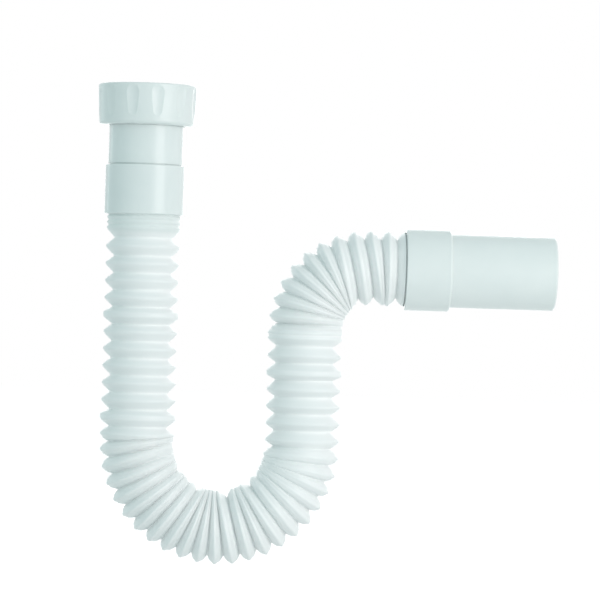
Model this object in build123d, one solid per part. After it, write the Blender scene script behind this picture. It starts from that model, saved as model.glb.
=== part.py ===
from build123d import *
from math import cos, dist, radians, sin
import os

os.makedirs("parts", exist_ok=True)

# The origin is the centre of the nut's mouth. +Z is up along the inlet, +X points to the outlet.

# Union nut: thread, wall, grip flutes and the lip that carries the tail's flange
THREAD_RADIUS = 23.9
THREAD_LENGTH = 11.5
NUT_HEIGHT = 22.0
NUT_WALL = 2.8
NUT_TAPER = 0.9
NUT_RIM_ROUND = 0.9
NUT_FOOT_ROUND = 2.2
NUT_LIP_THICKNESS = 2.6
FLUTE_COUNT = 12
FLUTE_DEPTH = 0.55
FLUTE_ROUND = 12.0
FLUTE_TOP = 5.8
FLUTE_LENGTH = 9.3
FLUTE_TURN = 13.0

# Tail, with a narrow groove above the sleeve, and washer inside the nut
TAIL_RADIUS = 20.25
TAIL_WALL = 2.0
TAIL_GROOVE_HEIGHT = 0.7
TAIL_GROOVE_DEPTH = 0.7
FLANGE_WIDTH = 1.95
FLANGE_THICKNESS = 3.0
WASHER_THICKNESS = 2.5
WASHER_SETBACK = 0.35
NUT_TAIL_CLEARANCE = 0.35
NUT_FLANGE_CLEARANCE = 0.3
SEAT_CLEARANCE = 0.8
WASHER_CLEARANCE = 0.6

# Sleeve that joins the tail to the hose
SLEEVE_TOP_DEPTH = 43.4
SLEEVE_LENGTH = 26.5
SLEEVE_WALL = 1.3
SLEEVE_ROUND = 0.5
SLEEVE_STOP_THICKNESS = 2.0
SLEEVE_STOP_WIDTH = 1.6

# Inlet cuff of the hose, with short moulded teeth below the sleeve
TOOTH_COUNT = 3
TOOTH_PITCH = 2.7
TOOTH_INSET = 0.25
TOOTH_DEPTH = 0.8
NECK_LENGTH = 4.1

# Bellows, measured square to the hose
TIP_RADIUS = 20.2
ROOT_RADIUS = 15.8
RIDGE_PITCH = 9.2
VALLEY_SHARE = 0.57
HOSE_WALL = 1.1
WIDE_CREST = 3.0
SHUT_DEPTH = 0.1

# Path of the bent hose: inlet leg, U, riser, elbow and the level run to the outlet
LEG_RIDGES = 12
BEND_RADIUS = 44.6
BEND_RIDGES = 21
RISER_LENGTH = 65.0
RISER_RIDGES = 8
PINCHED_GAP = 3.6
ELBOW_RADIUS = 33.0
ELBOW_RIDGES = 8
OUTLET_RUN = 19.8

# How far each ring of the bends tips out of square, in degrees: the folds gather in bunches
BEND_LEANS = (-6, -7, -2, -3, 0, 0, 2, 5, 3, 0, -3, -5, 0, -1, -2, 2, 4, 2, 2, -2, -2)
ELBOW_LEANS = (3, 2, 0, -1, -2, -4, -6, 2)
OUTLET_LEANS = (10, 1)

# Rings with a flat crest, and valleys that have popped out flat on the inside of a bend
WIDE_RINGS = (5, 11, 38)
POPPED_VALLEYS = (14, 41)

# Outlet fitting: socket over the hose's outlet cuff, then the plain spigot
CUFF_RADIUS = 20.2
CUFF_DEPTH = 20.0
CUFF_LEAD_IN = 1.0
CUFF_RIM_GAP = 0.9
CUFF_RIM_INSET = 0.2
CUFF_CLEARANCE = 0.1
CUFF_END_CLEARANCE = 0.3
SOCKET_LENGTH = 24.5
SOCKET_WALL = 1.9
SOCKET_ROUND = 1.2
SPIGOT_RADIUS = 20.0
SPIGOT_LENGTH = 57.0
SPIGOT_WALL = 2.0
SPIGOT_CHAMFER = 0.8

# Places that follow from the sizes above
TAIL_BORE = TAIL_RADIUS - TAIL_WALL
FLANGE_RADIUS = TAIL_RADIUS + FLANGE_WIDTH
SEAT_RADIUS = FLANGE_RADIUS + SEAT_CLEARANCE
LIP_TOP = NUT_LIP_THICKNESS - NUT_HEIGHT
FLANGE_FOOT = LIP_TOP + NUT_FLANGE_CLEARANCE
FLANGE_TOP = FLANGE_FOOT + FLANGE_THICKNESS
SLEEVE_TOP = -SLEEVE_TOP_DEPTH
SLEEVE_FOOT = SLEEVE_TOP - SLEEVE_LENGTH
STOP_TOP = (SLEEVE_TOP + SLEEVE_FOOT + SLEEVE_STOP_THICKNESS) / 2
STOP_FOOT = STOP_TOP - SLEEVE_STOP_THICKNESS
NECK_TOP = SLEEVE_FOOT - TOOTH_PITCH * (TOOTH_COUNT + 0.2)
FIRST_VALLEY = NECK_TOP - NECK_LENGTH
BEND_Z = FIRST_VALLEY - LEG_RIDGES * RIDGE_PITCH
RISER_X = 2 * BEND_RADIUS
RISER_TOP = BEND_Z + RISER_LENGTH
ELBOW_END = RISER_X + ELBOW_RADIUS
OUTLET_Z = RISER_TOP + ELBOW_RADIUS
SOCKET_START = ELBOW_END + OUTLET_RUN


def turned(points):
    """Solid of revolution about Z from (radius, height) corners."""
    corners = [(radius, 0, height) for radius, height in points]
    return revolve(make_face(Polyline(*corners, close=True)), Axis.Z)


def rims(solid, radius, height):
    """Round edges about Z with the given radius and height."""
    rounds = solid.edges().filter_by(GeomType.CIRCLE)
    return [e for e in rounds if abs(e.radius - radius) < 0.01 and abs(e.arc_center.Z - height) < 0.01]


def union_nut():
    lip_radius = TAIL_RADIUS + NUT_TAIL_CLEARANCE
    top_radius = max(THREAD_RADIUS, SEAT_RADIUS) + NUT_WALL
    foot_radius = top_radius - NUT_TAPER
    nut = turned(
        [
            (THREAD_RADIUS, 0),
            (top_radius, 0),
            (foot_radius, -NUT_HEIGHT),
            (lip_radius, -NUT_HEIGHT),
            (lip_radius, LIP_TOP),
            (SEAT_RADIUS, LIP_TOP),
            (SEAT_RADIUS, -THREAD_LENGTH),
            (THREAD_RADIUS, -THREAD_LENGTH),
        ]
    )
    nut = fillet(rims(nut, top_radius, 0), NUT_RIM_ROUND)
    nut = fillet(rims(nut, foot_radius, -NUT_HEIGHT), NUT_FOOT_ROUND)
    flute = Pos(0, 0, -FLUTE_TOP - FLUTE_LENGTH / 2) * Cylinder(FLUTE_ROUND, FLUTE_LENGTH)
    flute += Pos(0, 0, -FLUTE_TOP) * Sphere(FLUTE_ROUND)
    flute += Pos(0, 0, -FLUTE_TOP - FLUTE_LENGTH) * Sphere(FLUTE_ROUND)
    reach = top_radius - NUT_TAPER / 2 - FLUTE_DEPTH + FLUTE_ROUND
    return nut - PolarLocations(reach, FLUTE_COUNT, start_angle=FLUTE_TURN - 90) * flute


def inlet_tail():
    return turned(
        [
            (TAIL_BORE, FLANGE_TOP),
            (FLANGE_RADIUS, FLANGE_TOP),
            (FLANGE_RADIUS, FLANGE_FOOT),
            (TAIL_RADIUS, FLANGE_FOOT),
            (TAIL_RADIUS, SLEEVE_TOP + TAIL_GROOVE_HEIGHT),
            (TAIL_RADIUS - TAIL_GROOVE_DEPTH, SLEEVE_TOP + TAIL_GROOVE_HEIGHT),
            (TAIL_RADIUS - TAIL_GROOVE_DEPTH, SLEEVE_TOP),
            (TAIL_RADIUS, SLEEVE_TOP),
            (TAIL_RADIUS, STOP_TOP),
            (TAIL_BORE, STOP_TOP),
        ]
    )


def seal_washer():
    hole = TAIL_BORE + WASHER_SETBACK
    outside = SEAT_RADIUS - WASHER_CLEARANCE
    top = FLANGE_TOP + WASHER_THICKNESS
    return turned([(hole, FLANGE_TOP), (outside, FLANGE_TOP), (outside, top), (hole, top)])


def inlet_sleeve():
    outside = TAIL_RADIUS + SLEEVE_WALL
    stop = TAIL_RADIUS - SLEEVE_STOP_WIDTH
    sleeve = turned(
        [
            (TAIL_RADIUS, SLEEVE_TOP),
            (outside, SLEEVE_TOP),
            (outside, SLEEVE_FOOT),
            (TAIL_RADIUS, SLEEVE_FOOT),
            (TAIL_RADIUS, STOP_FOOT),
            (stop, STOP_FOOT),
            (stop, STOP_TOP),
            (TAIL_RADIUS, STOP_TOP),
        ]
    )
    return fillet(rims(sleeve, outside, SLEEVE_TOP) + rims(sleeve, outside, SLEEVE_FOOT), SLEEVE_ROUND)


# A ring of the hose is held as the two ends of its diameter in the XZ plane, first the one on the
# outside of the U and then the one on its inside, and as its reach to the front and back.


def leg_ring(z, radius):
    return (-radius, z), (radius, z), radius


def bend_ring(turn, lean):
    """Ring of the U at an angle turned from the inlet leg, placed by its outer end."""
    reach = BEND_RADIUS + TIP_RADIUS
    a = radians(turn)
    b = radians(turn - lean)
    outer = BEND_RADIUS - reach * cos(a), BEND_Z - reach * sin(a)
    inner = outer[0] + 2 * TIP_RADIUS * cos(b), outer[1] + 2 * TIP_RADIUS * sin(b)
    return outer, inner, TIP_RADIUS


def riser_ring(z):
    return (RISER_X + TIP_RADIUS, z), (RISER_X - TIP_RADIUS, z), TIP_RADIUS


def elbow_ring(turn, lean):
    """Ring of the elbow at an angle turned from the riser. The elbow bends the other way."""
    reach = ELBOW_RADIUS + TIP_RADIUS
    a = radians(turn)
    b = radians(turn - lean)
    outer = ELBOW_END - reach * cos(a), RISER_TOP + reach * sin(a)
    inner = outer[0] + 2 * TIP_RADIUS * cos(b), outer[1] - 2 * TIP_RADIUS * sin(b)
    return inner, outer, TIP_RADIUS


def outlet_ring(x, radius, lean):
    """Ring on the level run, placed by its top."""
    b = radians(lean)
    top = x, OUTLET_Z + radius
    return (x + 2 * radius * sin(b), top[1] - 2 * radius * cos(b)), top, radius


def ridges():
    """The rings of the ridge tips, from inlet to outlet."""
    rings = [leg_ring(FIRST_VALLEY - RIDGE_PITCH * (i + 0.5), TIP_RADIUS) for i in range(LEG_RIDGES)]
    for i in range(BEND_RIDGES):
        rings.append(bend_ring(180 * (i + 0.4) / BEND_RIDGES, BEND_LEANS[i % len(BEND_LEANS)]))
    pinched = RISER_TOP - 0.8 * PINCHED_GAP
    spread = (RISER_LENGTH - 1.8 * PINCHED_GAP) / (RISER_RIDGES - 1.6)
    rings += [riser_ring(BEND_Z + spread * (i + 0.4)) for i in range(RISER_RIDGES - 1)]
    rings.append(riser_ring(pinched))
    for i in range(ELBOW_RIDGES):
        rings.append(elbow_ring(90 * (i + 0.6) / (ELBOW_RIDGES + 0.5), ELBOW_LEANS[i % len(ELBOW_LEANS)]))
    for i, lean in enumerate(OUTLET_LEANS):
        rings.append(outlet_ring(ELBOW_END + OUTLET_RUN * (0.025 + 0.49 * i), TIP_RADIUS, lean))
    return rings


def along(start, end, share):
    """Point part of the way from start to end."""
    return start[0] + (end[0] - start[0]) * share, start[1] + (end[1] - start[1]) * share


def openness(gap):
    """A valley is as deep as its tips stand apart. Where a bend presses them together it is shut."""
    return min(1, max(SHUT_DEPTH, (gap / RIDGE_PITCH - 0.4) / 0.35))


def valley(near, far, popped):
    """The ring at the bottom of the valley between two ridges. In a bend it is deepest at front and back."""
    gaps = [dist(near[0], far[0]), dist(near[1], far[1])]
    middle_gap = dist(along(near[0], near[1], 0.5), along(far[0], far[1], 0.5))
    if popped:
        gaps[gaps.index(min(gaps))] = 0
    full_depth = TIP_RADIUS - ROOT_RADIUS
    first = along(near[0], far[0], VALLEY_SHARE)
    second = along(near[1], far[1], VALLEY_SHARE)
    depths = [full_depth * openness(gap) / dist(first, second) for gap in gaps]
    outer = along(first, second, depths[0])
    inner = along(second, first, depths[1])
    reach = TIP_RADIUS - full_depth * openness(middle_gap)
    return outer, inner, min(reach, dist(outer, inner) / 2)


def shifted(ring, distance):
    """The ring moved along the hose, square to its own plane."""
    (ax, az), (bx, bz), reach = ring
    dx = (bz - az) / dist(ring[0], ring[1]) * distance
    dz = (ax - bx) / dist(ring[0], ring[1]) * distance
    return (ax + dx, az + dz), (bx + dx, bz + dz), reach


def hose_rings():
    """Every ring of the hose's skin from the inlet cuff to the outlet cuff, with a rim before the socket."""
    tooth_tip = TAIL_RADIUS - TOOTH_INSET
    tooth_root = tooth_tip - TOOTH_DEPTH
    rings = [leg_ring(STOP_FOOT, TAIL_RADIUS), leg_ring(SLEEVE_FOOT, TAIL_RADIUS)]
    for i in range(TOOTH_COUNT):
        rings.append(leg_ring(SLEEVE_FOOT - TOOTH_PITCH * (i + 0.15), tooth_root))
        rings.append(leg_ring(SLEEVE_FOOT - TOOTH_PITCH * (i + 0.65), tooth_tip))
    rings += [leg_ring(NECK_TOP, tooth_root), leg_ring(FIRST_VALLEY, ROOT_RADIUS)]
    tips = ridges()
    for number, tip in enumerate(tips, start=1):
        if number in WIDE_RINGS:
            rings += [shifted(tip, -WIDE_CREST / 2), shifted(tip, WIDE_CREST / 2)]
        else:
            rings.append(tip)
        if number < len(tips):
            rings.append(valley(tip, tips[number], number in POPPED_VALLEYS))
    rings.append(outlet_ring(ELBOW_END + 0.76 * OUTLET_RUN, ROOT_RADIUS, 0))
    rings.append(outlet_ring(SOCKET_START - CUFF_RIM_GAP, CUFF_RADIUS - CUFF_RIM_INSET, 0))
    rings.append(outlet_ring(SOCKET_START, CUFF_RADIUS - CUFF_LEAD_IN, 0))
    rings.append(outlet_ring(SOCKET_START + 2 * CUFF_LEAD_IN, CUFF_RADIUS, 0))
    rings.append(outlet_ring(SOCKET_START + CUFF_DEPTH - CUFF_END_CLEARANCE, CUFF_RADIUS, 0))
    return rings


def loop(ring, inset):
    """Edge of the ring, drawn in by inset. It starts on the outside of the U."""
    (ax, az), (bx, bz), reach = ring
    half = dist(ring[0], ring[1]) / 2
    middle = (ax + bx) / 2, 0, (az + bz) / 2
    plane = Plane(origin=middle, x_dir=(ax - bx, 0, az - bz), z_dir=(bz - az, 0, ax - bx))
    if half - reach < 0.01:
        return Edge.make_circle(half - inset, plane)
    return Edge.make_ellipse(half - inset, reach - inset, plane)


def skin(rings, inset):
    """One ruled face from each ring to the next."""
    loops = [loop(ring, inset) for ring in rings]
    return [Face.make_surface_from_curves(near, far) for near, far in zip(loops, loops[1:])]


def hose():
    rings = hose_rings()
    ends = [Face(Wire(loop(end, 0)), [Wire(loop(end, HOSE_WALL))]) for end in (rings[0], rings[-1])]
    return Solid(Shell(skin(rings, 0) + skin(rings, HOSE_WALL) + ends))


def outlet_fitting():
    """Turned about Z from the socket's mouth, then laid along X."""
    socket_bore = CUFF_RADIUS + CUFF_CLEARANCE
    outside = socket_bore + SOCKET_WALL
    end = SOCKET_LENGTH + SPIGOT_LENGTH
    bore = SPIGOT_RADIUS - SPIGOT_WALL
    fitting = turned(
        [
            (socket_bore, 0),
            (outside, 0),
            (outside, SOCKET_LENGTH),
            (SPIGOT_RADIUS, SOCKET_LENGTH),
            (SPIGOT_RADIUS, end),
            (bore, end),
            (bore, CUFF_DEPTH),
            (socket_bore, CUFF_DEPTH),
        ]
    )
    fitting = fillet(rims(fitting, outside, SOCKET_LENGTH), SOCKET_ROUND)
    fitting = fillet(rims(fitting, outside, 0), SLEEVE_ROUND)
    fitting = chamfer(rims(fitting, SPIGOT_RADIUS, end), SPIGOT_CHAMFER)
    return Pos(SOCKET_START, 0, OUTLET_Z) * Rot(0, 90, 0) * fitting


export_step(union_nut(), "parts/union_nut.step")
export_step(seal_washer(), "parts/seal_washer.step")
export_step(inlet_tail(), "parts/inlet_tail.step")
export_step(inlet_sleeve(), "parts/inlet_sleeve.step")
export_step(hose(), "parts/hose.step")
export_step(outlet_fitting(), "parts/outlet_fitting.step")
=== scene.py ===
import math

import bpy
from mathutils import Matrix, Vector


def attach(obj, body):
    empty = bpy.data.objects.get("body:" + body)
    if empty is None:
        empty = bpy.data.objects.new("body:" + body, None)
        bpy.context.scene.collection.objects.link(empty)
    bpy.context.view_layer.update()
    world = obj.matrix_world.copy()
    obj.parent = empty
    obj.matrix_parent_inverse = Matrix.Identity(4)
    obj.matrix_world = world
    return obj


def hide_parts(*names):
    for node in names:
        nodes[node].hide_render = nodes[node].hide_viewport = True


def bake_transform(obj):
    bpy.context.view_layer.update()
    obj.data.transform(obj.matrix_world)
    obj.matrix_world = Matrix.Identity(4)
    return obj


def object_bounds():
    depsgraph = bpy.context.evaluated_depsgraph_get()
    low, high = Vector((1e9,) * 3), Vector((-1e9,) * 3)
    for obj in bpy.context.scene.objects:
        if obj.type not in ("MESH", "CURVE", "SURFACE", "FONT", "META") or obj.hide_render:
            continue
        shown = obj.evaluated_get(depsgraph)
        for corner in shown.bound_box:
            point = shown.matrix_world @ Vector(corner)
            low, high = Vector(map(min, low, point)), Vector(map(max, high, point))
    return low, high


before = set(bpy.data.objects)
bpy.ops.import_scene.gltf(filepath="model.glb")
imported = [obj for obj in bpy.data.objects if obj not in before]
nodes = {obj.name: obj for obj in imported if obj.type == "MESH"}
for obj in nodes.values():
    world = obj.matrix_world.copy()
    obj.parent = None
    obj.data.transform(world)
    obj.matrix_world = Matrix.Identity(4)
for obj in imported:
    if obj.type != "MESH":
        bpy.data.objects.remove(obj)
cad_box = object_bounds()


# Union nut. Injection moulded white polypropylene, unscrewed off a threaded core, so the thread inside
# is crisp and the outside is semi-gloss. It hangs loose on the tail's flange and is turned by hand.

MM = 0.001
NUT_WHITE = (0.780, 0.825, 0.818)
NUT_CLOUD = (0.750, 0.802, 0.796)
NUT_GLOSS = (0.285, 0.32)
NUT_FLOW = (1, 1, 0.2)
MOULD_CLOUDS_A_METRE = 55
MOULD_STREAKS_A_METRE = 90
MOULD_GRAINS_A_METRE = 2600
MOULD_GRAIN_DEPTH = 0.000002
MOULD_MILKINESS = 0.08
MOULD_MILKY_DEPTH = 0.002
MOULD_MILKY_TINT = (1.0, 1.0, 0.95)
PLASTIC_IOR = 1.49
THREAD_OUTER_RADIUS = 23.95
THREAD_DEPTH = 1.45
THREAD_PITCH = 2.309
THREAD_SECTION = ((0, -0.95), (0.72, -0.5), (0.95, -0.27), (1, 0), (0.95, 0.27), (0.72, 0.5), (0, 0.95))
THREAD_START = -1.6
THREAD_TURNS = 3.75
THREAD_STEPS_A_TURN = 96
THREAD_RUN_OUT = 0.22
THREAD_LEAST_HEIGHT = 0.02


def add_mesh(name, points, faces):
    """New smooth object from points in millimetres."""
    mesh = bpy.data.meshes.new(name)
    mesh.from_pydata([Vector(point) * MM for point in points], [], faces)
    mesh.polygons.foreach_set("use_smooth", [True] * len(mesh.polygons))
    mesh.update()
    piece = bpy.data.objects.new(name, mesh)
    bpy.context.scene.collection.objects.link(piece)
    return piece


def finish_with(piece, material):
    """Gives the whole piece one material."""
    piece.data.materials.clear()
    piece.data.materials.append(material)


def new_surface(name):
    """Empty material: its node tree and its shader."""
    material = bpy.data.materials.new(name)
    material.use_nodes = True
    tree = material.node_tree
    return material, tree, tree.nodes["Principled BSDF"]


def add_noise(tree, scale, detail, stretch=(1, 1, 1)):
    """Noise fixed to the piece; scale is in cells to the metre."""
    place = tree.nodes.new("ShaderNodeTexCoord")
    mapping = tree.nodes.new("ShaderNodeMapping")
    mapping.inputs["Scale"].default_value = stretch
    noise = tree.nodes.new("ShaderNodeTexNoise")
    noise.inputs["Scale"].default_value = scale
    noise.inputs["Detail"].default_value = detail
    tree.links.new(place.outputs["Object"], mapping.inputs["Vector"])
    tree.links.new(mapping.outputs["Vector"], noise.inputs["Vector"])
    return noise.outputs["Fac"]


def spread(tree, value, low, high, start=0.3, end=0.7):
    """Maps a value between start and end, by default the middle of a noise, to low and high."""
    ramp = tree.nodes.new("ShaderNodeMapRange")
    ramp.inputs["From Min"].default_value = start
    ramp.inputs["From Max"].default_value = end
    ramp.inputs["To Min"].default_value = low
    ramp.inputs["To Max"].default_value = high
    tree.links.new(value, ramp.inputs["Value"])
    return ramp.outputs["Result"]


def mixed(tree, share, first, second):
    """Colour between two, by a share. Each is a plain colour or comes from another node."""
    mix = tree.nodes.new("ShaderNodeMix")
    mix.data_type = "RGBA"
    for side, colour in (("A", first), ("B", second)):
        if isinstance(colour, tuple):
            mix.inputs[side].default_value = (*colour, 1)
        else:
            tree.links.new(colour, mix.inputs[side])
    tree.links.new(share, mix.inputs["Factor"])
    return mix.outputs["Result"]


def raise_surface(tree, shader, height, depth, after=None):
    """Bump of the given depth in metres, on top of another one where there is one."""
    bump = tree.nodes.new("ShaderNodeBump")
    bump.inputs["Strength"].default_value = 1
    bump.inputs["Distance"].default_value = depth
    tree.links.new(height, bump.inputs["Height"])
    if after:
        tree.links.new(after, bump.inputs["Normal"])
    tree.links.new(bump.outputs["Normal"], shader.inputs["Normal"])
    return bump.outputs["Normal"]


def moulded_white(name, white, cloud, gloss, flow):
    """Semi-gloss moulded plastic: cloudy white, flow streaks in the gloss and a fine polished grain."""
    material, tree, shader = new_surface(name)
    cloudiness = spread(tree, add_noise(tree, MOULD_CLOUDS_A_METRE, 3), 0, 1)
    tree.links.new(mixed(tree, cloudiness, white, cloud), shader.inputs["Base Color"])
    streaks = add_noise(tree, MOULD_STREAKS_A_METRE, 4, flow)
    tree.links.new(spread(tree, streaks, *gloss), shader.inputs["Roughness"])
    raise_surface(tree, shader, add_noise(tree, MOULD_GRAINS_A_METRE, 2), MOULD_GRAIN_DEPTH)
    shader.inputs["Subsurface Weight"].default_value = MOULD_MILKINESS
    shader.inputs["Subsurface Radius"].default_value = MOULD_MILKY_TINT
    shader.inputs["Subsurface Scale"].default_value = MOULD_MILKY_DEPTH
    shader.inputs["IOR"].default_value = PLASTIC_IOR
    return material


def thread_ridge():
    """One helical ridge inside the nut's mouth, fading out at both ends.

    Its section gives shares of the depth and places along the nut.
    """
    steps = round(THREAD_TURNS * THREAD_STEPS_A_TURN)
    points = []
    for step in range(steps + 1):
        turns = step / THREAD_STEPS_A_TURN
        fade = min(1, turns / THREAD_RUN_OUT, (THREAD_TURNS - turns) / THREAD_RUN_OUT)
        depth = THREAD_DEPTH * max(THREAD_LEAST_HEIGHT, fade)
        angle = math.tau * turns
        for share, offset in THREAD_SECTION:
            radius = THREAD_OUTER_RADIUS - depth * share
            height = THREAD_START - THREAD_PITCH * turns + offset
            points.append((radius * math.cos(angle), radius * math.sin(angle), height))
    wide = len(THREAD_SECTION)
    faces = []
    for step in range(steps):
        near, far = step * wide, (step + 1) * wide
        for side in range(wide):
            after = (side + 1) % wide
            faces.append((near + side, near + after, far + after, far + side))
    faces.append(tuple(reversed(range(wide))))
    faces.append(tuple(range(steps * wide, (steps + 1) * wide)))
    return add_mesh("nut_thread", points, faces)


nut_plastic = moulded_white("nut_white", NUT_WHITE, NUT_CLOUD, NUT_GLOSS, NUT_FLOW)
finish_with(nodes["union_nut"], nut_plastic)
thread = thread_ridge()
finish_with(thread, nut_plastic)
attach(thread, "nut")


# Seal washer. Stamped from black rubber sheet, so its faces are matt with a fine cloth-like grain.
# It lies loose in the nut on the tail's flange and is squeezed when the nut is tightened.

RUBBER_BLACK = (0.030, 0.030, 0.031)
RUBBER_BLOOM = (0.062, 0.061, 0.060)
RUBBER_GLOSS = (0.55, 0.75)
RUBBER_BLOOMS_A_METRE = 140
RUBBER_GRAINS_A_METRE = 1800
RUBBER_GRAIN_DEPTH = 0.00008


def washer_rubber():
    """Matt black rubber with a greyish bloom and a grain that can be felt."""
    material, tree, shader = new_surface("washer_rubber")
    bloom = spread(tree, add_noise(tree, RUBBER_BLOOMS_A_METRE, 5), 0, 1)
    tree.links.new(mixed(tree, bloom, RUBBER_BLACK, RUBBER_BLOOM), shader.inputs["Base Color"])
    grain = add_noise(tree, RUBBER_GRAINS_A_METRE, 3)
    tree.links.new(spread(tree, grain, *RUBBER_GLOSS), shader.inputs["Roughness"])
    raise_surface(tree, shader, grain, RUBBER_GRAIN_DEPTH)
    return material


finish_with(nodes["seal_washer"], washer_rubber())


# Inlet tail and sleeve. Two plain tubes of the same white polypropylene, moulded on polished cores.
# The flanged tail is pressed into the sleeve from above, the hose's cuff from below.

TAIL_WHITE = (0.778, 0.826, 0.820)
TAIL_CLOUD = (0.748, 0.803, 0.798)
TAIL_GLOSS = (0.235, 0.265)
TAIL_FLOW = (1, 1, 0.15)
tail_plastic = moulded_white("tail_white", TAIL_WHITE, TAIL_CLOUD, TAIL_GLOSS, TAIL_FLOW)
finish_with(nodes["inlet_tail"], tail_plastic)
finish_with(nodes["inlet_sleeve"], tail_plastic)


# Hose. One blown tube of thin white polypropylene with V folds, satin all over, bent by hand to a U and
# an elbow. Folds gather on the inside of a bend and open on its outside. A plain cuff at each end goes
# into the sleeve and the socket.

HOSE_WHITE = (0.885, 0.901, 0.900)
HOSE_CLOUD = (0.869, 0.889, 0.888)
# Painted light: a brighter colour for the bottoms of the open folds, standing in for light bounced between
# the flanks.
HOSE_FOLD_PAINTED_GLOW = (0.940, 0.950, 0.949)
HOSE_CUFF = (0.790, 0.835, 0.828)
HOSE_GLOSS = (0.34, 0.46)
HOSE_CLOUDS_A_METRE = 70
HOSE_PEEL_A_METRE = 420
HOSE_PEEL_DEPTH = 0.00004
HOSE_GRAINS_A_METRE = 3000
HOSE_GRAIN_DEPTH = 0.000004
HOSE_SIDES = 96
HOSE_WALL = 1.1
TIP_RADIUS = 20.2
ROOT_RADIUS = 15.8
RIDGE_PITCH = 9.2
VALLEY_SHARE = 0.57
WIDE_CREST = 3.0
SHUT_DEPTH = 0.1
SHUT_GAP = 0.4
OPEN_GAP = 0.75
RIDGE_ROUND = 0.22
BENT_RIDGE_ROUND = 0.36
OPEN_FOLD_ROUND = 0.14
TIGHT_FOLD_ROUND = 0.06
STRAIGHT_BULGE = (0.015, 0.015)
BENT_BULGE = (0.06, 0.27)
CURVE_STEPS = 3
WIDE_CURVE_STEPS = 5
FLANK_STEPS = 4
FOLD_LEVEL = 0
PAINTED_GLOW_END_LEVEL = 0.4
RIDGE_LEVEL = 1
CUFF_LEVEL = 2
CUFF_TOP = -57.65
CUFF_RADIUS = 20.2
SLEEVE_FOOT = -69.9
TOOTH_COUNT = 3
TOOTH_PITCH = 2.7
TOOTH_TIP = 20.0
TOOTH_DEPTH = 0.8
TOOTH_ROOT_SHARE = 0.15
TOOTH_TIP_SHARE = 0.65
LAST_ROOT_SHARE = 0.2
NECK_LENGTH = 4.1
NECK_TOP = SLEEVE_FOOT - TOOTH_PITCH * (TOOTH_COUNT + LAST_ROOT_SHARE)
FIRST_VALLEY = NECK_TOP - NECK_LENGTH
LEG_RIDGES = 12
BEND_RADIUS = 44.6
BEND_RIDGES = 21
RIDGE_LEAD = 0.4
BEND_Z = FIRST_VALLEY - LEG_RIDGES * RIDGE_PITCH
BEND_LEANS = (-6, -7, -2, -3, 0, 0, 2, 5, 3, 0, -3, -5, 0, -1, -2, 2, 4, 2, 2, -2, -2)
BEND_FOLDS = (
    1, 1, 1, 1, 1, 1.05, 1.1, 1.2, 1.25, 1.3, 1.3, 1.2, 1.1, 1, 0.85, 0.7, 0.6, 0.5, 0.45, 0.45, 0.5,
)
RISER_X = 2 * BEND_RADIUS
RISER_LENGTH = 65.0
RISER_RIDGES = 8
RISER_TOP = BEND_Z + RISER_LENGTH
PINCHED_GAP = 3.6
PINCHED_SHARE = 0.8
ELBOW_RADIUS = 33.0
ELBOW_RIDGES = 8
ELBOW_LEAD = 0.6
ELBOW_TAIL = 0.5
ELBOW_END = RISER_X + ELBOW_RADIUS
ELBOW_LEANS = (3, 2, 0, -1, -2, -4, -6, 2)
OUTLET_Z = RISER_TOP + ELBOW_RADIUS
OUTLET_RUN = 19.8
OUTLET_LEANS = (10, 1)
OUTLET_RIDGE_SHARES = (0.025, 0.515)
OUTLET_FOLD_SHARE = 0.76
SOCKET_START = ELBOW_END + OUTLET_RUN
CUFF_LEAD_IN = 1.0
CUFF_RIM_GAP = 0.9
CUFF_RIM_RADIUS = 20.0
CUFF_REACH = 19.7
WIDE_RINGS = (5, 11, 38)
POPPED_VALLEYS = (14, 41)


def leg_ring(z, radius):
    """A ring is held as the two ends of its diameter, outside of the U first, and its reach to the sides."""
    return Vector((-radius, z)), Vector((radius, z)), radius


def bend_ring(turn, lean):
    """Ring of the U at an angle turned from the leg, placed by its outer end."""
    reach = BEND_RADIUS + TIP_RADIUS
    a = math.radians(turn)
    b = math.radians(turn - lean)
    outer = Vector((BEND_RADIUS - reach * math.cos(a), BEND_Z - reach * math.sin(a)))
    return outer, outer + 2 * TIP_RADIUS * Vector((math.cos(b), math.sin(b))), TIP_RADIUS


def riser_ring(z):
    return Vector((RISER_X + TIP_RADIUS, z)), Vector((RISER_X - TIP_RADIUS, z)), TIP_RADIUS


def elbow_ring(turn, lean):
    """Ring of the elbow at an angle turned from the riser. The elbow bends the other way."""
    reach = ELBOW_RADIUS + TIP_RADIUS
    a = math.radians(turn)
    b = math.radians(turn - lean)
    outer = Vector((ELBOW_END - reach * math.cos(a), RISER_TOP + reach * math.sin(a)))
    return outer + 2 * TIP_RADIUS * Vector((math.cos(b), -math.sin(b))), outer, TIP_RADIUS


def outlet_ring(x, radius, lean=0):
    """Ring on the level run, placed by its top."""
    b = math.radians(lean)
    top = Vector((x, OUTLET_Z + radius))
    return top + 2 * radius * Vector((math.sin(b), -math.cos(b))), top, radius


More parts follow.
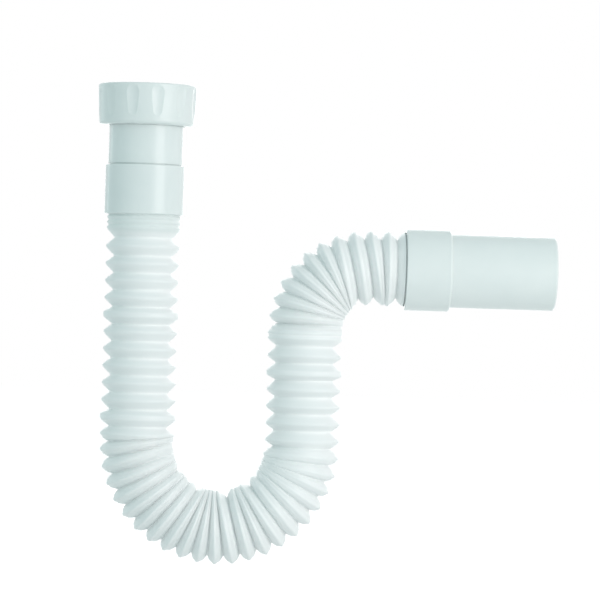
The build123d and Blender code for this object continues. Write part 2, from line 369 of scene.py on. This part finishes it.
def ridge_rings():
    """The ridge tips from inlet to outlet."""
    rings = [leg_ring(FIRST_VALLEY - RIDGE_PITCH * (i + 0.5), TIP_RADIUS) for i in range(LEG_RIDGES)]
    rings += [bend_ring(180 * (i + RIDGE_LEAD) / BEND_RIDGES, BEND_LEANS[i]) for i in range(BEND_RIDGES)]
    step = (RISER_LENGTH - (1 + PINCHED_SHARE) * PINCHED_GAP) / (RISER_RIDGES - 2 + RIDGE_LEAD)
    rings += [riser_ring(BEND_Z + step * (i + RIDGE_LEAD)) for i in range(RISER_RIDGES - 1)]
    rings.append(riser_ring(RISER_TOP - PINCHED_SHARE * PINCHED_GAP))
    turn = 90 / (ELBOW_RIDGES + ELBOW_TAIL)
    rings += [elbow_ring(turn * (i + ELBOW_LEAD), ELBOW_LEANS[i]) for i in range(ELBOW_RIDGES)]
    for share, lean in zip(OUTLET_RIDGE_SHARES, OUTLET_LEANS):
        rings.append(outlet_ring(ELBOW_END + OUTLET_RUN * share, TIP_RADIUS, lean))
    return rings


def middle(ring):
    return (ring[0] + ring[1]) / 2


def valley_ring(near, far, popped, pull):
    """The bottom of the fold between two ridges: deep where they stand apart, shut where they meet."""
    gaps = [(far[end] - near[end]).length for end in (0, 1)]
    if popped:
        gaps[gaps.index(min(gaps))] = 0
    gaps.append((middle(far) - middle(near)).length)
    opens = [(gap / RIDGE_PITCH - SHUT_GAP) / (OPEN_GAP - SHUT_GAP) for gap in gaps]
    depths = [(TIP_RADIUS - ROOT_RADIUS) * min(1, max(SHUT_DEPTH, share)) for share in opens]
    ends = [near[end].lerp(far[end], VALLEY_SHARE) for end in (0, 1)]
    inward = (ends[1] - ends[0]).normalized()
    return ends[0] + inward * depths[0], ends[1] - inward * depths[1], TIP_RADIUS - depths[2] * pull


def hose_rings():
    """Every ring from cuff to cuff, with its level (fold, ridge or cuff), its rounding and its bulge."""
    tooth_root = TOOTH_TIP - TOOTH_DEPTH
    rings = []

    def add(ring, level, rounding, bulge=None):
        rings.append((ring, level, rounding, bulge))

    add(leg_ring(CUFF_TOP, CUFF_RADIUS), CUFF_LEVEL, 0)
    add(leg_ring(SLEEVE_FOOT, CUFF_RADIUS), CUFF_LEVEL, 0)
    for i in range(TOOTH_COUNT):
        add(leg_ring(SLEEVE_FOOT - TOOTH_PITCH * (i + TOOTH_ROOT_SHARE), tooth_root), CUFF_LEVEL, RIDGE_ROUND)
        add(leg_ring(SLEEVE_FOOT - TOOTH_PITCH * (i + TOOTH_TIP_SHARE), TOOTH_TIP), CUFF_LEVEL, RIDGE_ROUND)
    add(leg_ring(NECK_TOP, tooth_root), CUFF_LEVEL, RIDGE_ROUND)
    add(leg_ring(FIRST_VALLEY, ROOT_RADIUS), FOLD_LEVEL, OPEN_FOLD_ROUND)
    tips = ridge_rings()
    first_risen = LEG_RIDGES + BEND_RIDGES
    for number, tip in enumerate(tips, start=1):
        straight = number < LEG_RIDGES or first_risen < number < first_risen + RISER_RIDGES
        bulge, tip_round = (STRAIGHT_BULGE, RIDGE_ROUND) if straight else (BENT_BULGE, BENT_RIDGE_ROUND)
        # Only the folds of the straight runs take the fold level that gets the painted light.
        fold_level = FOLD_LEVEL if straight else RIDGE_LEVEL
        fold_round = OPEN_FOLD_ROUND if straight else TIGHT_FOLD_ROUND
        if number in WIDE_RINGS:
            across = (tip[1] - tip[0]).normalized()
            half = Vector((across.y, -across.x)) * WIDE_CREST / 2
            add((tip[0] - half, tip[1] - half, tip[2]), RIDGE_LEVEL, RIDGE_ROUND, bulge)
            add((tip[0] + half, tip[1] + half, tip[2]), RIDGE_LEVEL, RIDGE_ROUND, bulge)
        else:
            add(tip, RIDGE_LEVEL, tip_round, bulge)
        if number < len(tips):
            pull = BEND_FOLDS[number - LEG_RIDGES - 1] if LEG_RIDGES < number <= first_risen else 1
            fold = valley_ring(tip, tips[number], number in POPPED_VALLEYS, pull)
            add(fold, fold_level, fold_round, (bulge[0], bulge[1] * min(1, pull)))
    last_fold = outlet_ring(ELBOW_END + OUTLET_FOLD_SHARE * OUTLET_RUN, ROOT_RADIUS)
    add(last_fold, RIDGE_LEVEL, TIGHT_FOLD_ROUND, BENT_BULGE)
    add(outlet_ring(SOCKET_START - CUFF_RIM_GAP, CUFF_RIM_RADIUS), RIDGE_LEVEL, RIDGE_ROUND, BENT_BULGE)
    add(outlet_ring(SOCKET_START, CUFF_RADIUS - CUFF_LEAD_IN), RIDGE_LEVEL, RIDGE_ROUND)
    add(outlet_ring(SOCKET_START + 2 * CUFF_LEAD_IN, CUFF_RADIUS), RIDGE_LEVEL, 0)
    add(outlet_ring(SOCKET_START + CUFF_REACH, CUFF_RADIUS), RIDGE_LEVEL, 0)
    return rings


def sharpened(rings):
    """The rings widened or narrowed so that their rounded curves still reach the old ones."""
    sharp = [rings[0]]
    for (before, *_), (here, level, rounding, bulge), (after, *_) in zip(rings, rings[1:], rings[2:]):
        push = rounding / 2 / (1 - rounding / 2)
        away = [(here[i] - (before[i] + after[i]) / 2) * push for i in (0, 1, 2)]
        across = (here[0] - here[1]).normalized()
        ring = [here[i] + across * across.dot(away[i]) for i in (0, 1)] + [here[2] + away[2]]
        sharp.append((ring, level, rounding, bulge))
    sharp.append(rings[-1])
    return sharp


def rounded(rings):
    """The skin's rows: every ridge and fold drawn as a short curve, every flank a little plump."""
    rows = [(rings[0][0], rings[0][1])]
    for (before, low, *_), (here, level, rounding, bulge), (after, high, next_rounding, next_bulge) in zip(
        rings, rings[1:], rings[2:]
    ):
        steps = WIDE_CURVE_STEPS if rounding == BENT_RIDGE_ROUND else CURVE_STEPS
        for step in range(steps + 1 if rounding else 1):
            t = step / steps
            back = (1 - t) ** 2 * rounding
            on = t ** 2 * rounding
            ring = [here[i] + (before[i] - here[i]) * back + (after[i] - here[i]) * on for i in (0, 1, 2)]
            rows.append((ring, level + (low - level) * back + (high - level) * on))
        for step in range(1, FLANK_STEPS if bulge and next_bulge else 1):
            t = rounding + (1 - rounding - next_rounding) * step / FLANK_STEPS
            swell, side_swell = [min(pair) * 4 * t * (1 - t) for pair in zip(bulge, next_bulge)]
            ring = [here[i] + (after[i] - here[i]) * t for i in (0, 1, 2)]
            for i in (0, 1):
                flank = after[i] - here[i]
                outward = Vector((flank.y, -flank.x))
                if outward.dot(here[i] - here[1 - i]) < 0:
                    outward.negate()
                ring[i] = ring[i] + outward * swell
            ring[2] += (middle(after) - middle(here)).length * side_swell
            rows.append((ring, level + (high - level) * t))
    rows.append((rings[-1][0], rings[-1][1]))
    return rows


def ring_points(ring, inset):
    """Points round a ring, starting on the outside of the U."""
    outer, inner, reach = ring
    centre = middle(ring)
    across = (outer - inner) / 2
    across = across.normalized() * (across.length - inset)
    points = []
    for side in range(HOSE_SIDES):
        angle = math.tau * side / HOSE_SIDES
        x, z = centre + across * math.cos(angle)
        points.append((x, (reach - inset) * math.sin(angle), z))
    return points


def bellows():
    """The hose's skin: down the outside, round the cuff's edge and back along the inside."""
    rings = hose_rings()
    rows = [(ring, level, 0) for ring, level in rounded(sharpened(rings))]
    rows += [(ring, level, HOSE_WALL) for ring, level, *_ in reversed(rings)]
    points = []
    levels = []
    for ring, level, inset in rows:
        points += ring_points(ring, inset)
        levels += [level] * HOSE_SIDES
    faces = []
    for row in range(len(rows)):
        near, far = row * HOSE_SIDES, (row + 1) % len(rows) * HOSE_SIDES
        for side in range(HOSE_SIDES):
            after = (side + 1) % HOSE_SIDES
            faces.append((near + side, far + side, far + after, near + after))
    piece = add_mesh("bellows_hose", points, faces)
    height = piece.data.attributes.new("out_of_fold", "FLOAT", "POINT")
    height.data.foreach_set("value", levels)
    return piece


def hose_plastic():
    """Satin blown plastic with painted light in the open folds, a brighter colour standing in for light
    bounced between the flanks; thicker and greyer at the inlet cuff.
    """
    material, tree, shader = new_surface("hose_white")
    level = tree.nodes.new("ShaderNodeAttribute")
    level.attribute_name = "out_of_fold"
    above_painted_glow = spread(tree, level.outputs["Fac"], 0, 1, FOLD_LEVEL, PAINTED_GLOW_END_LEVEL)
    towards_cuff = spread(tree, level.outputs["Fac"], 0, 1, RIDGE_LEVEL, CUFF_LEVEL)
    cloudiness = spread(tree, add_noise(tree, HOSE_CLOUDS_A_METRE, 3), 0, 1)
    cloudy = mixed(tree, cloudiness, HOSE_WHITE, HOSE_CLOUD)
    # Painted light: the fold bottoms are drawn brighter than the rest of the skin, standing in for light
    # bounced in the folds.
    with_painted_fold_glow = mixed(tree, above_painted_glow, HOSE_FOLD_PAINTED_GLOW, cloudy)
    tree.links.new(mixed(tree, towards_cuff, with_painted_fold_glow, HOSE_CUFF), shader.inputs["Base Color"])
    peel = add_noise(tree, HOSE_PEEL_A_METRE, 3)
    tree.links.new(spread(tree, peel, *HOSE_GLOSS), shader.inputs["Roughness"])
    skin = raise_surface(tree, shader, peel, HOSE_PEEL_DEPTH)
    raise_surface(tree, shader, add_noise(tree, HOSE_GRAINS_A_METRE, 2), HOSE_GRAIN_DEPTH, skin)
    shader.inputs["IOR"].default_value = PLASTIC_IOR
    return material


hose = bellows()
finish_with(hose, hose_plastic())
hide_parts("hose")
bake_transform(hose)


# Outlet fitting. One moulding of white polypropylene: a socket welded over the hose's cuff, then the
# plain spigot that pushes into a waste pipe, with a bevelled end.

OUTLET_WHITE = (0.785, 0.825, 0.818)
OUTLET_CLOUD = (0.758, 0.803, 0.797)
OUTLET_GLOSS = (0.285, 0.315)
OUTLET_FLOW = (0.15, 1, 1)
outlet_plastic = moulded_white("outlet_white", OUTLET_WHITE, OUTLET_CLOUD, OUTLET_GLOSS, OUTLET_FLOW)
finish_with(nodes["outlet_fitting"], outlet_plastic)


# Studio. A white table and a white room, a tall soft light at the front right, a wide one behind and a
# weak strip at the back left that draws a thin shine down the left edges.

FLOOR_GAP = 0.03
FLOOR_SIZE = 8.0
PAPER_WHITE = (0.85, 0.86, 0.86)
PAPER_GLOSS = (0.75, 0.85)
PAPER_GRAINS_A_METRE = 300
PAPER_GLOW = 1.5
PAPER_GLOW_SHARE = 0.5
ROOM_LEFT = (0.505, 0.664, 0.668)
ROOM_RIGHT = (0.69, 0.745, 0.750)
ROOM_SIDES = (-0.8, 0.8)
ROOM_BRIGHT_SIDE = (0, -0.84, -0.54)
ROOM_BRIGHT_SHARE = 1.35
ROOM_DIM_SHARE = 0.72
SOFT_LIGHTS = (
    ("front_right", (0.70, -0.75, -0.13), (0.52, 0.90), 4.5, (1.0, 0.93, 0.92)),
    ("behind", (0.20, 1.10, 0.10), (0.90, 0.90), 5.0, (1.0, 0.95, 0.94)),
    ("left_strip", (-0.72, 0.64, -0.10), (0.12, 0.90), 0.5, (0.88, 1.0, 1.0)),
)
PICTURE_CENTRE = Vector((0.0857, 0, -0.1134))
CAMERA_DISTANCE = 1.68
CAMERA_TURN = math.radians(-2)
CAMERA_ROLL = math.radians(1.8)
CAMERA_LENS = 186
CAMERA_SENSOR = 36


def seen_directly(tree):
    """1 where the camera, a reflection or a see-through surface looks at the white itself."""
    path = tree.nodes.new("ShaderNodeLightPath")
    total = path.outputs["Is Camera Ray"]
    for kind in ("Is Glossy Ray", "Is Transmission Ray"):
        either = tree.nodes.new("ShaderNodeMath")
        either.operation = "MAXIMUM"
        tree.links.new(total, either.inputs[0])
        tree.links.new(path.outputs[kind], either.inputs[1])
        total = either.outputs["Value"]
    return total


def table_paper():
    """White paper that glows to plain white for the camera and still takes a faint shadow."""
    material, tree, shader = new_surface("table_paper")
    grain = spread(tree, add_noise(tree, PAPER_GRAINS_A_METRE, 2), *PAPER_GLOSS)
    tree.links.new(grain, shader.inputs["Roughness"])
    shader.inputs["Base Color"].default_value = (*PAPER_WHITE, 1)
    glow = tree.nodes.new("ShaderNodeEmission")
    glow.inputs["Strength"].default_value = PAPER_GLOW
    share = tree.nodes.new("ShaderNodeMath")
    share.operation = "MULTIPLY"
    share.inputs[1].default_value = PAPER_GLOW_SHARE
    mix = tree.nodes.new("ShaderNodeMixShader")
    tree.links.new(seen_directly(tree), share.inputs[0])
    tree.links.new(share.outputs["Value"], mix.inputs["Fac"])
    tree.links.new(shader.outputs["BSDF"], mix.inputs[1])
    tree.links.new(glow.outputs["Emission"], mix.inputs[2])
    tree.links.new(mix.outputs["Shader"], tree.nodes["Material Output"].inputs["Surface"])
    return material


def white_room():
    """Plain white to look at; it lights the trap most from the front and less from the left and above."""
    world = bpy.data.worlds.new("white_room")
    world.use_nodes = True
    tree = world.node_tree
    light = tree.nodes["Background"]
    place = tree.nodes.new("ShaderNodeTexCoord").outputs["Generated"]
    split = tree.nodes.new("ShaderNodeSeparateXYZ")
    tree.links.new(place, split.inputs["Vector"])
    rightness = spread(tree, split.outputs["X"], 0, 1, *ROOM_SIDES)
    tree.links.new(mixed(tree, rightness, ROOM_LEFT, ROOM_RIGHT), light.inputs["Color"])
    facing = tree.nodes.new("ShaderNodeVectorMath")
    facing.operation = "DOT_PRODUCT"
    facing.inputs[1].default_value = ROOM_BRIGHT_SIDE
    tree.links.new(place, facing.inputs[0])
    brightness = spread(tree, facing.outputs["Value"], ROOM_DIM_SHARE, ROOM_BRIGHT_SHARE, -1, 1)
    tree.links.new(brightness, light.inputs["Strength"])
    white = tree.nodes.new("ShaderNodeBackground")
    white.inputs["Color"].default_value = (1, 1, 1, 1)
    mix = tree.nodes.new("ShaderNodeMixShader")
    tree.links.new(seen_directly(tree), mix.inputs["Fac"])
    tree.links.new(light.outputs["Background"], mix.inputs[1])
    tree.links.new(white.outputs["Background"], mix.inputs[2])
    tree.links.new(mix.outputs["Shader"], tree.nodes["World Output"].inputs["Surface"])
    return world


def soft_light(name, place, size, watts, colour):
    """Flat lamp aimed at the middle of the trap and kept out of the picture itself."""
    lamp = bpy.data.lights.new(name, "AREA")
    lamp.shape = "RECTANGLE"
    lamp.size, lamp.size_y = size
    lamp.energy = watts
    lamp.color = colour
    stand = bpy.data.objects.new(name, lamp)
    stand.location = place
    stand.rotation_euler = (PICTURE_CENTRE - Vector(place)).to_track_quat("-Z", "Y").to_euler()
    stand.visible_camera = False
    bpy.context.scene.collection.objects.link(stand)


half = FLOOR_SIZE / 2 / MM
floor_z = (cad_box[0].z - FLOOR_GAP) / MM
corners = [(-half, -half, floor_z), (half, -half, floor_z), (half, half, floor_z), (-half, half, floor_z)]
table = add_mesh("table", corners, [(0, 1, 2, 3)])
finish_with(table, table_paper())
bpy.context.scene.world = white_room()
for soft in SOFT_LIGHTS:
    soft_light(*soft)

lens = bpy.data.cameras.new("camera")
lens.lens = CAMERA_LENS
lens.sensor_width = CAMERA_SENSOR
camera = bpy.data.objects.new("camera", lens)
back = Vector((math.sin(CAMERA_TURN), -math.cos(CAMERA_TURN), 0))
camera.location = PICTURE_CENTRE + back * CAMERA_DISTANCE
level_view = (-back).to_track_quat("-Z", "Y").to_matrix()
camera.rotation_euler = (level_view @ Matrix.Rotation(CAMERA_ROLL, 3, "Z")).to_euler()
bpy.context.scene.collection.objects.link(camera)
bpy.context.scene.camera = camera
bpy.context.scene.view_settings.view_transform = "Standard"
